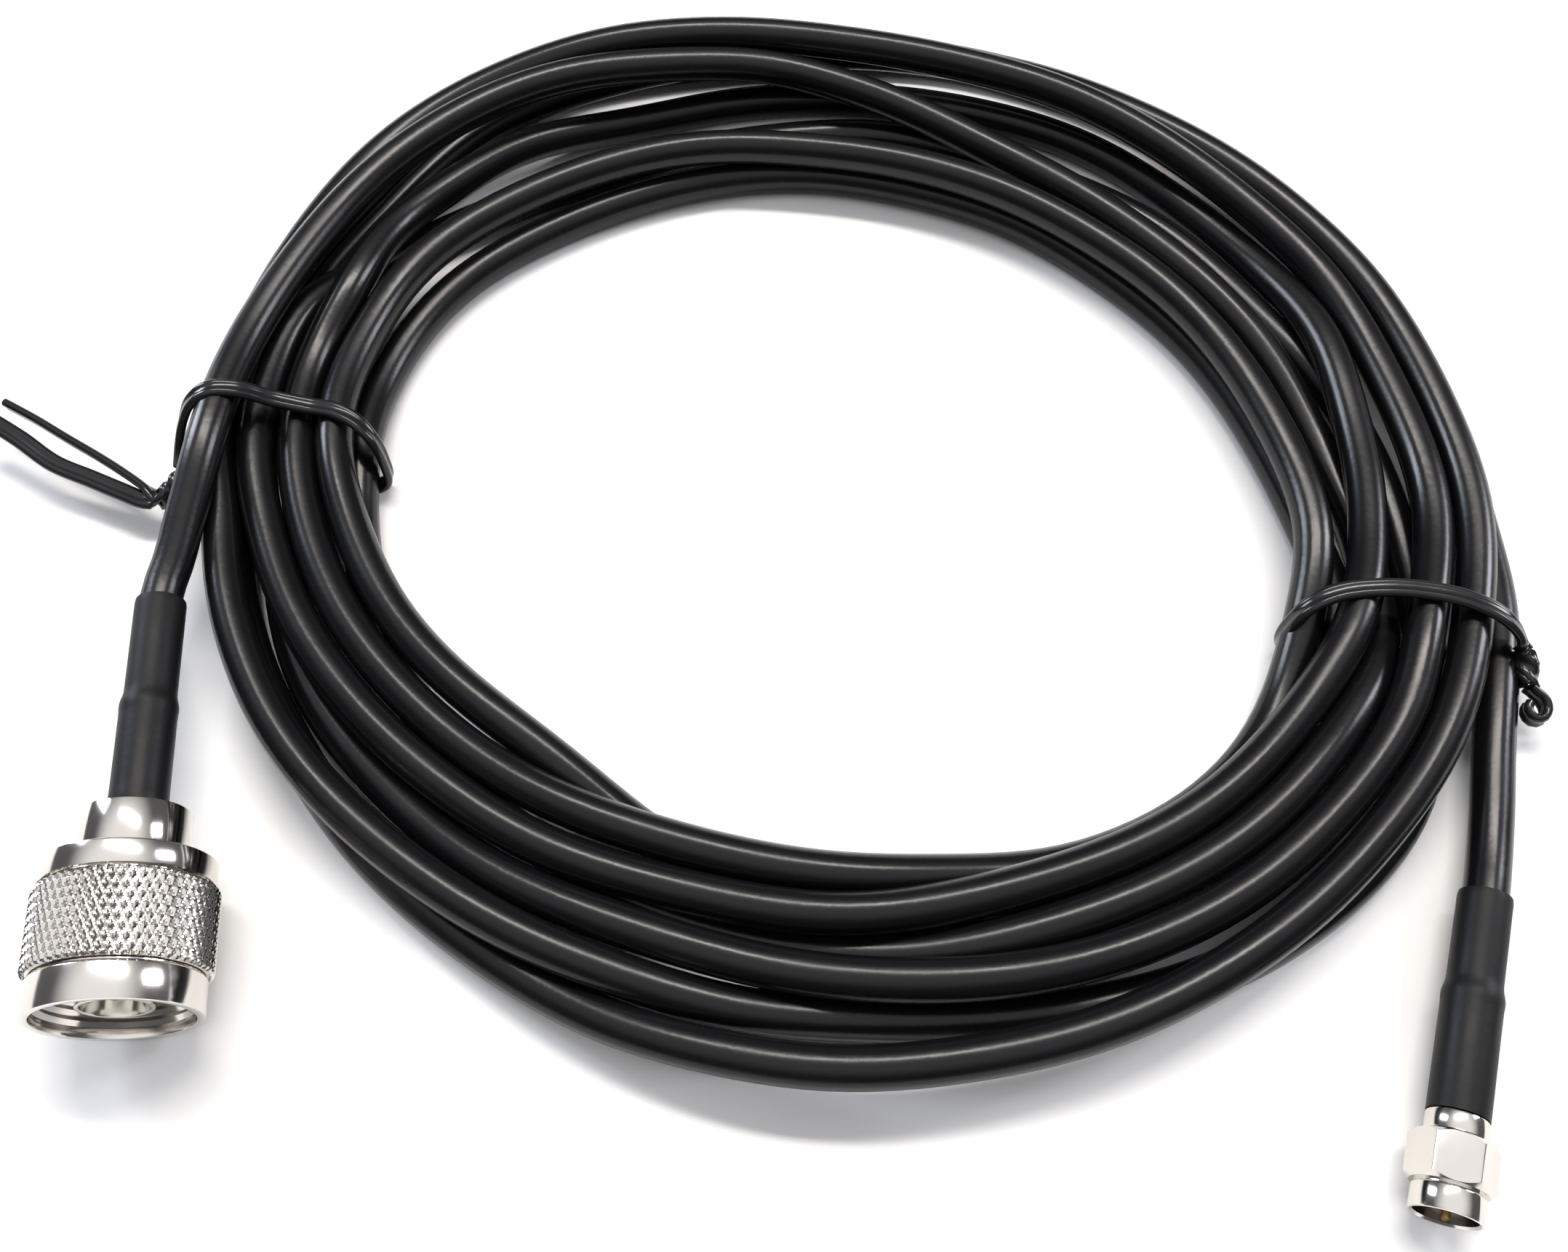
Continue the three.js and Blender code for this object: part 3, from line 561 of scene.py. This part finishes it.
sma_nut.data.shade_smooth()
sma_nut.data.set_sharp_from_angle(angle=math.radians(28))
print("hex nut faces:", len(sma_nut.data.polygons))

# %% [markdown]
# ## Wire ties
# Each tie is one wire in plastic: two ridges with a groove between. It goes round the coil, its ends are
# twisted together on the outside, and what is left over sticks out.

# %% Build the ties
TIE_WIDE = 2.5


def tie_section():
    """Outline of the wire's section: two round ridges side by side."""
    ridge, thick = TIE_WIDE / 4, TIE_THICK / 2
    points = []
    for centre, start, stop in ((ridge, -75, 75), (ridge, 75, 125), (-ridge, 55, 105), (-ridge, 105, 255),
                                (-ridge, 255, 305), (ridge, 235, 285)):
        for k in range(5):
            a = math.radians(start + (stop - start) * k / 5)
            points.append((centre + ridge * math.cos(a), thick * math.sin(a)))
    return points


def swept(name, points, normals):
    """Sweeps the wire's section along points. normals say which way the flat side faces at each."""
    bm = bmesh.new()
    rings = []
    count = len(points)
    for i, (place, facing) in enumerate(zip(points, normals)):
        ahead = Vector(points[min(i + 1, count - 1)]) - Vector(points[max(i - 1, 0)])
        ahead.normalize()
        facing = Vector(facing)
        facing = (facing - facing.dot(ahead) * ahead).normalized()
        side = ahead.cross(facing)
        rings.append([bm.verts.new((Vector(place) + side * x + facing * y) * MM + RING)
                      for x, y in tie_section()])
    n = len(rings[0])
    for low, high in zip(rings, rings[1:]):
        for k in range(n):
            bm.faces.new((low[k], low[(k + 1) % n], high[(k + 1) % n], high[k]))
    bm.faces.new(rings[0])
    bm.faces.new(rings[-1])
    bmesh.ops.recalc_face_normals(bm, faces=bm.faces)
    return finished(name, bm, None, 60)


def wire_path(spots, step=0.6):
    """Spots are (x, y, z, facing x, y, z). Returns even points and the facing at each."""
    fine = smooth_path(np.array(spots, float), 16)
    along = np.concatenate([[0], np.cumsum(np.linalg.norm(np.diff(fine[:, :3], axis=0), axis=1))])
    places = np.linspace(0, along[-1], int(along[-1] / step) + 1)
    even = np.stack([np.interp(places, along, fine[:, k]) for k in range(6)], 1)
    return even[:, :3], even[:, 3:]


def twisted_pair(start, stop, turns_made, apart, begin=0.0, steps=26):
    """Two wires wound round each other from start to stop: two lists of (x, y, z, facing)."""
    start, stop = Vector(start), Vector(stop)
    axis = (stop - start).normalized()
    across = axis.cross(Vector((0, 0, 1))).normalized()
    up = across.cross(axis)
    pair = ([], [])
    for k in range(steps + 1):
        t = k / steps
        a = begin + 2 * math.pi * turns_made * t
        out = across * math.cos(a) + up * math.sin(a)
        middle = start.lerp(stop, t)
        for wire, sign in zip(pair, (1, -1)):
            wire.append((*(middle + out * apart * sign), *(out * sign)))
    return pair


one, two = twisted_pair((-85.6, -4.0, 6.4), (-88.4, -7.1, 5.0), 1.25, 0.62)
left_loop = [
    (-85.5, -1.8, 9.6, -1, 0, 0.3), (-84.6, 0.2, 12.0, -0.9, 0, 0.5), (-83.2, 1.5, 14.2, -0.5, 0, 0.9),
    (-80.6, 2.5, 15.6, 0, 0, 1), (-77.4, 3.1, 14.9, 0.4, 0, 0.9), (-73.8, 3.5, 12.4, 0.6, 0, 0.8),
    (-69.5, 3.4, 10.9, 0.1, 0, 1), (-65.8, 2.6, 10.9, 0.1, 0, 1), (-63.0, 1.2, 10.4, 0.6, 0, 0.8),
    (-61.0, -0.4, 8.4, 1, 0, 0.2), (-60.2, -1.6, 5.2, 1, 0, 0), (-60.4, -2.2, 2.0, 0.9, 0, -0.5),
    (-62.4, -2.4, 0.75, 0, 0, -1), (-68, -2.6, 0.7, 0, 0, -1), (-76, -2.9, 0.7, 0, 0, -1),
    (-82, -3.4, 0.75, 0, 0, -1), (-84.6, -3.8, 1.9, -0.8, 0, -0.6), (-85.6, -4.0, 4.0, -1, 0, -0.2),
]
lower_tail = [
    (-90.6, -7.3, 4.8, 0.2, 0, 1), (-94.2, -5.8, 4.8, 0, 0, 1), (-98.4, -4.0, 5.0, 0, 0, 1),
    (-103.6, -1.8, 5.3, 0, 0, 1), (-108.6, 1.6, 5.9, 0, 0, 1), (-113.8, 4.8, 6.4, 0, 0, 1),
]
upper_tail = [
    (-90.4, -5.9, 5.2, 0.3, 0.9, 0.3), (-93.6, -3.6, 5.2, 0.3, 0.95, 0.2), (-97.6, -1.0, 5.3, 0.3, 0.95, 0.2),
    (-102.4, 1.9, 5.4, 0.3, 0.95, 0.2), (-107.2, 4.8, 5.7, 0.3, 0.95, 0.2),
    (-111.6, 7.2, 6.0, 0.3, 0.95, 0.2),
]
points, facings = wire_path(upper_tail[::-1] + one[::-1] + left_loop + two + lower_tail)
tie_left = swept("left_tie", points, facings)

one, two = twisted_pair((82.4, -31.0, 6.6), (82.3, -33.9, 5.4), 0.5, 0.6)
right_loop = [
    (81.4, -29.2, 8.2, 0.8, 0, 0.6), (79.2, -27.6, 10.2, 0.5, 0, 0.9), (75.0, -25.6, 11.2, 0.1, 0, 1),
    (69.2, -24.2, 11.3, 0, 0, 1), (63.6, -23.9, 11.2, 0, 0, 1), (59.0, -24.4, 10.7, -0.3, 0, 0.9),
    (56.0, -25.4, 9.2, -0.8, 0, 0.5), (54.4, -26.4, 6.6, -1, 0, 0), (54.0, -27.0, 3.4, -1, 0, 0),
    (54.8, -27.2, 1.4, -0.8, 0, -0.5), (57.0, -27.4, 0.75, 0, 0, -1), (64, -28.0, 0.7, 0, 0, -1),
    (72, -29.6, 0.7, 0, 0, -1), (79, -31.0, 0.7, 0, 0, -1), (82.4, -31.4, 0.9, 0.3, 0, -1),
    (83.8, -31.5, 2.4, 1, 0, -0.3), (83.6, -31.4, 4.4, 1, 0, 0.3),
]
eye = [
    (82.9, -34.9, 5.0, 0.3, 0.9, 0.2), (83.9, -35.8, 4.6, 0.7, 0.7, 0), (84.2, -37.1, 4.3, 1, 0, 0),
    (83.3, -38.3, 4.2, 0.4, -0.9, 0), (82.2, -38.1, 4.2, -0.6, -0.8, 0), (81.8, -37.0, 4.3, -1, 0, 0),
    (82.3, -36.2, 4.4, -0.7, 0.7, 0),
]
points, facings = wire_path(one[::-1] + right_loop + two + eye)
tie_right = swept("right_tie", points, facings)
print("tie faces:", len(tie_left.data.polygons), len(tie_right.data.polygons))

# %% [markdown]
# ## What each piece stands for, and what it moves with

# %% Ride and replace
stands_for = {
    n_sleeve: "n_heat_shrink", sma_sleeve: "sma_heat_shrink",
    n_ferrule: "n_ferrule", sma_ferrule: "sma_ferrule",
    n_body: "n_body", n_insulator: "n_insulator", n_pin: "n_pin", n_nut: "n_coupling_nut",
    sma_body: "sma_body", sma_insulator: "sma_insulator", sma_pin: "sma_pin", sma_nut: "sma_coupling_nut",
    tie_left: "tie_left", tie_right: "tie_right",
}
for obj, node in stands_for.items():
    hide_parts(node)
    body = {"n_coupling_nut": "n_nut", "sma_coupling_nut": "sma_nut"}.get(node, "cable")
    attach(obj, body)
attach(n_knurl, "n_nut")

# %% [markdown]
# ## Materials

# %% Shared node groups and materials
def material(name, colour, metallic=0.0, roughness=0.4):
    """A material with its node tree and its Principled shader."""
    mat = bpy.data.materials.new(name)
    mat.use_nodes = True
    shader = mat.node_tree.nodes["Principled BSDF"]
    shader.inputs["Base Color"].default_value = (*colour, 1.0)
    shader.inputs["Metallic"].default_value = metallic
    shader.inputs["Roughness"].default_value = roughness
    return mat, mat.node_tree, shader


def wear_group():
    """Object-space noise: a fine one for bump, and a broad one that varies the gloss."""
    group = bpy.data.node_groups.new("fine_wear", "ShaderNodeTree")
    scale = group.interface.new_socket("Scale", in_out="INPUT", socket_type="NodeSocketFloat")
    scale.default_value = 900.0
    low = group.interface.new_socket("Gloss Low", in_out="INPUT", socket_type="NodeSocketFloat")
    low.default_value = 0.3
    high = group.interface.new_socket("Gloss High", in_out="INPUT", socket_type="NodeSocketFloat")
    high.default_value = 0.45
    depth = group.interface.new_socket("Depth", in_out="INPUT", socket_type="NodeSocketFloat")
    depth.default_value = 0.1
    group.interface.new_socket("Roughness", in_out="OUTPUT", socket_type="NodeSocketFloat")
    group.interface.new_socket("Normal", in_out="OUTPUT", socket_type="NodeSocketVector")
    nodes, links = group.nodes, group.links
    ins, outs = nodes.new("NodeGroupInput"), nodes.new("NodeGroupOutput")
    coords = nodes.new("ShaderNodeTexCoord")
    fine = nodes.new("ShaderNodeTexNoise")
    fine.inputs["Detail"].default_value = 3.0
    links.new(coords.outputs["Object"], fine.inputs["Vector"])
    links.new(ins.outputs["Scale"], fine.inputs["Scale"])
    broad = nodes.new("ShaderNodeTexNoise")
    broad.inputs["Scale"].default_value = 90.0
    broad.inputs["Detail"].default_value = 4.0
    links.new(coords.outputs["Object"], broad.inputs["Vector"])
    spread = nodes.new("ShaderNodeMapRange")
    spread.inputs["From Min"].default_value = 0.35
    spread.inputs["From Max"].default_value = 0.65
    links.new(broad.outputs["Fac"], spread.inputs["Value"])
    links.new(ins.outputs["Gloss Low"], spread.inputs["To Min"])
    links.new(ins.outputs["Gloss High"], spread.inputs["To Max"])
    bump = nodes.new("ShaderNodeBump")
    bump.inputs["Distance"].default_value = 0.00005
    links.new(ins.outputs["Depth"], bump.inputs["Strength"])
    links.new(fine.outputs["Fac"], bump.inputs["Height"])
    links.new(spread.outputs["Result"], outs.inputs["Roughness"])
    links.new(bump.outputs["Normal"], outs.inputs["Normal"])
    return group


WEAR = wear_group()


def worn(name, colour, metallic, low, high, scale, depth):
    """A material whose gloss wanders between low and high and whose surface has a fine bump."""
    mat, tree, shader = material(name, colour, metallic)
    wear = tree.nodes.new("ShaderNodeGroup")
    wear.node_tree = WEAR
    wear.inputs["Scale"].default_value = scale
    wear.inputs["Gloss Low"].default_value = low
    wear.inputs["Gloss High"].default_value = high
    wear.inputs["Depth"].default_value = depth
    tree.links.new(wear.outputs["Roughness"], shader.inputs["Roughness"])
    tree.links.new(wear.outputs["Normal"], shader.inputs["Normal"])
    return mat


JACKET = worn("cable_jacket", (0.004, 0.004, 0.0046), 0.0, 0.22, 0.29, 1400.0, 0.3)
SHRINK = worn("heat_shrink", (0.006, 0.006, 0.0066), 0.0, 0.42, 0.52, 1100.0, 0.5)
NICKEL = worn("nickel_plate", (0.72, 0.69, 0.64), 1.0, 0.10, 0.17, 700.0, 0.05)
FERRULE_METAL = worn("ferrule_plate", (0.62, 0.60, 0.57), 1.0, 0.22, 0.32, 700.0, 0.1)
PTFE = worn("insulator", (0.86, 0.84, 0.80), 0.0, 0.42, 0.5, 700.0, 0.1)
GOLD = worn("pin_gold", (0.83, 0.60, 0.26), 1.0, 0.16, 0.24, 700.0, 0.05)
TIE = worn("tie_plastic", (0.011, 0.011, 0.012), 0.0, 0.14, 0.2, 800.0, 0.1)
for plastic, level in ((JACKET, 0.3), (SHRINK, 0.2), (TIE, 0.35)):
    plastic.node_tree.nodes["Principled BSDF"].inputs["Specular IOR Level"].default_value = level
looks = [
    (JACKET, "cable_jacket", [cable]), (SHRINK, "heat_shrink", [n_sleeve, sma_sleeve]),
    (FERRULE_METAL, "ferrule_plate", [n_ferrule, sma_ferrule]),
    (NICKEL, "nickel_plate", [n_body, n_nut, n_knurl, sma_body, sma_nut]),
    (PTFE, "insulator", [n_insulator, sma_insulator]), (GOLD, "pin_gold", [n_pin, sma_pin]),
    (TIE, "tie_plastic", [tie_left, tie_right]),
]
for mat, slot_name, objects in looks:
    for obj in objects:
        obj.data.materials.clear()
        obj.data.materials.append(mat)

# %% [markdown]
# ## Floor and light
# A plain pale floor, a long narrow light behind and above, and two cooler ones at the sides. The sky is
# bright overhead and dim near the horizon, which gives the nickel its dark and bright bands.

# %% Floor, lights and sky
bm = bmesh.new()
bmesh.ops.create_grid(bm, x_segments=1, y_segments=1, size=3.0)
floor = finished("floor", bm)
floor_mat, _, floor_shader = material("floor_white", (0.88, 0.875, 0.87), 0.0, 0.7)
floor_shader.inputs["Specular IOR Level"].default_value = 0.1
floor.data.materials.append(floor_mat)


def softbox(name, place, size, power, colour):
    """An area light aimed at the ring's centre. place is in metres from there."""
    data = bpy.data.lights.new(name, "AREA")
    data.shape = "RECTANGLE"
    data.size, data.size_y = size
    data.energy = power
    data.color = colour
    obj = bpy.data.objects.new(name, data)
    obj.location = RING + Vector(place)
    obj.rotation_euler = (RING - obj.location).to_track_quat("-Z", "Y").to_euler()
    JOIN(obj)
    return obj


lights = [
    softbox("back_window", (0.05, 0.42, 1.00), (0.8, 0.10), 10.0, (1.0, 0.955, 0.90)),
    softbox("left_window", (-0.80, 0.50, 0.42), (0.20, 0.45), 6.0, (0.82, 0.89, 1.0)),
    softbox("right_window", (0.85, 0.30, 0.45), (0.20, 0.40), 4.8, (0.93, 0.93, 1.0)),
]
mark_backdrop(floor, *lights)
world = bpy.data.worlds.new("world")
world.use_nodes = True
world.node_tree.nodes["Background"].inputs["Color"].default_value = (0.97, 0.97, 1.0, 1.0)
sky_nodes, sky_links = world.node_tree.nodes, world.node_tree.links
direction = sky_nodes.new("ShaderNodeTexCoord")
parts = sky_nodes.new("ShaderNodeSeparateXYZ")
rise = sky_nodes.new("ShaderNodeMapRange")
rise.interpolation_type = "SMOOTHSTEP"
for socket, value in (("From Min", 0.45), ("From Max", 0.97), ("To Min", 0.12), ("To Max", 1.1)):
    rise.inputs[socket].default_value = value
sky_links.new(direction.outputs["Generated"], parts.inputs["Vector"])
sky_links.new(parts.outputs["Z"], rise.inputs["Value"])
sky_links.new(rise.outputs["Result"], sky_nodes["Background"].inputs["Strength"])
bpy.context.scene.world = world
bpy.context.scene.view_settings.view_transform = "Standard"
bpy.context.scene.view_settings.exposure = 0.0

# %% [markdown]
# ## Sizes

# %% Print the sizes
low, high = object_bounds()
print("scene box, mm:", [round((b - a) / MM, 1) for a, b in zip(low, high)])
